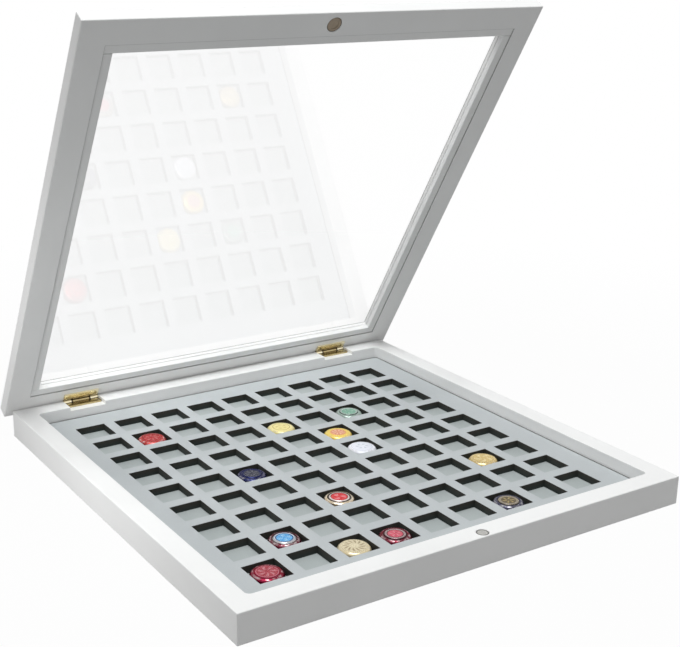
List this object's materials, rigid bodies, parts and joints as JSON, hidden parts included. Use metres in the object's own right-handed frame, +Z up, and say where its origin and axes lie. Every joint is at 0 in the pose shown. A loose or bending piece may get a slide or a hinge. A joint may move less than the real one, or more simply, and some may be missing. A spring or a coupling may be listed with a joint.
{
  "type": "cap display frame",
  "caption": "Shallow square white display case for bottle caps: a grid of square cells in a grey tray under a hinged glazed lid with a magnetic catch.",
  "frame": {"origin": "middle of the box's underside", "axes": "+X to the right seen from the front, +Y to the back where the hinges are, +Z up"},
  "size_m": [0.524, 0.5257, 0.4797],
  "materials": {
    "bright_steel": "polished",
    "bronzed_steel": "brushed",
    "cap_blue": "gloss",
    "cap_copper_red": "gloss",
    "cap_cream": "gloss",
    "cap_gold": "gloss",
    "cap_gold_navy": "gloss",
    "cap_navy": "gloss",
    "cap_orange": "gloss",
    "cap_pale_blue": "gloss",
    "cap_red": "gloss",
    "cap_red_ring": "gloss",
    "cap_rose": "gloss",
    "cap_silver_green": "gloss",
    "clear_pane": "clear",
    "dark_board": "matte",
    "grey_lining": "matte",
    "hinge_brass": "polished",
    "white_lacquer": "satin lacquer"
  },
  "bodies": {
    "box": {"base_board": "dark_board", "bottom_panel": "white_lacquer", "box_back_rail": "white_lacquer", "box_front_rail": "white_lacquer", "box_left_rail": "white_lacquer", "box_right_rail": "white_lacquer", "catch_magnet": "bright_steel", "column_dividers": "dark_board", "floor_lining": "grey_lining", "left_hinge_box_leaf": "hinge_brass", "left_hinge_box_screws": "hinge_brass", "left_hinge_pin": "hinge_brass", "panel_screws": "bright_steel", "right_hinge_box_leaf": "hinge_brass", "right_hinge_box_screws": "hinge_brass", "right_hinge_pin": "hinge_brass", "row_dividers": "dark_board", "tray_facing": "grey_lining"},
    "lid": {"back_glazing_bead": "white_lacquer", "front_glazing_bead": "white_lacquer", "left_glazing_bead": "white_lacquer", "left_hinge_lid_leaf": "hinge_brass", "left_hinge_lid_screws": "hinge_brass", "lid_back_rail": "white_lacquer", "lid_front_rail": "white_lacquer", "lid_left_rail": "white_lacquer", "lid_right_rail": "white_lacquer", "pane": "clear_pane", "right_glazing_bead": "white_lacquer", "right_hinge_lid_leaf": "hinge_brass", "right_hinge_lid_screws": "hinge_brass", "strike_disc": "bronzed_steel"},
    "cap_row2_column2": {"cap_row2_column2": "cap_red"},
    "cap_row3_column5": {"cap_row3_column5": "cap_cream"},
    "cap_row3_column7": {"cap_row3_column7": "cap_silver_green"},
    "cap_row4_column6": {"cap_row4_column6": "cap_orange"},
    "cap_row5_column3": {"cap_row5_column3": "cap_navy"},
    "cap_row5_column6": {"cap_row5_column6": "cap_pale_blue"},
    "cap_row7_column4": {"cap_row7_column4": "cap_red_ring"},
    "cap_row7_column8": {"cap_row7_column8": "cap_gold"},
    "cap_row8_column2": {"cap_row8_column2": "cap_blue"},
    "cap_row9_column1": {"cap_row9_column1": "cap_copper_red"},
    "cap_row9_column3": {"cap_row9_column3": "cap_gold"},
    "cap_row9_column4": {"cap_row9_column4": "cap_rose"},
    "cap_row9_column7": {"cap_row9_column7": "cap_gold_navy"}
  },
  "joints": [
    {"name": "lid_hinge", "type": "hinge", "parent": "box", "child": "lid", "pos_m": [0, 0.254, 0.0279], "axis": [-1, 0, 0], "range_deg": [-59.35, 44.65]},
    {"name": "cap_row2_column2_lift", "type": "slide", "parent": "box", "child": "cap_row2_column2", "axis": [0, 0, 1], "range_m": [0, 0.035]},
    {"name": "cap_row3_column5_lift", "type": "slide", "parent": "box", "child": "cap_row3_column5", "axis": [0, 0, 1], "range_m": [0, 0.035]},
    {"name": "cap_row3_column7_lift", "type": "slide", "parent": "box", "child": "cap_row3_column7", "axis": [0, 0, 1], "range_m": [0, 0.035]},
    {"name": "cap_row4_column6_lift", "type": "slide", "parent": "box", "child": "cap_row4_column6", "axis": [0, 0, 1], "range_m": [0, 0.035]},
    {"name": "cap_row5_column3_lift", "type": "slide", "parent": "box", "child": "cap_row5_column3", "axis": [0, 0, 1], "range_m": [0, 0.035]},
    {"name": "cap_row5_column6_lift", "type": "slide", "parent": "box", "child": "cap_row5_column6", "axis": [0, 0, 1], "range_m": [0, 0.035]},
    {"name": "cap_row7_column4_lift", "type": "slide", "parent": "box", "child": "cap_row7_column4", "axis": [0, 0, 1], "range_m": [0, 0.035]},
    {"name": "cap_row7_column8_lift", "type": "slide", "parent": "box", "child": "cap_row7_column8", "axis": [0, 0, 1], "range_m": [0, 0.035]},
    {"name": "cap_row8_column2_lift", "type": "slide", "parent": "box", "child": "cap_row8_column2", "axis": [0, 0, 1], "range_m": [0, 0.035]},
    {"name": "cap_row9_column1_lift", "type": "slide", "parent": "box", "child": "cap_row9_column1", "axis": [0, 0, 1], "range_m": [0, 0.035]},
    {"name": "cap_row9_column3_lift", "type": "slide", "parent": "box", "child": "cap_row9_column3", "axis": [0, 0, 1], "range_m": [0, 0.035]},
    {"name": "cap_row9_column4_lift", "type": "slide", "parent": "box", "child": "cap_row9_column4", "axis": [0, 0, 1], "range_m": [0, 0.035]},
    {"name": "cap_row9_column7_lift", "type": "slide", "parent": "box", "child": "cap_row9_column7", "axis": [0, 0, 1], "range_m": [0, 0.035]}
  ]
}
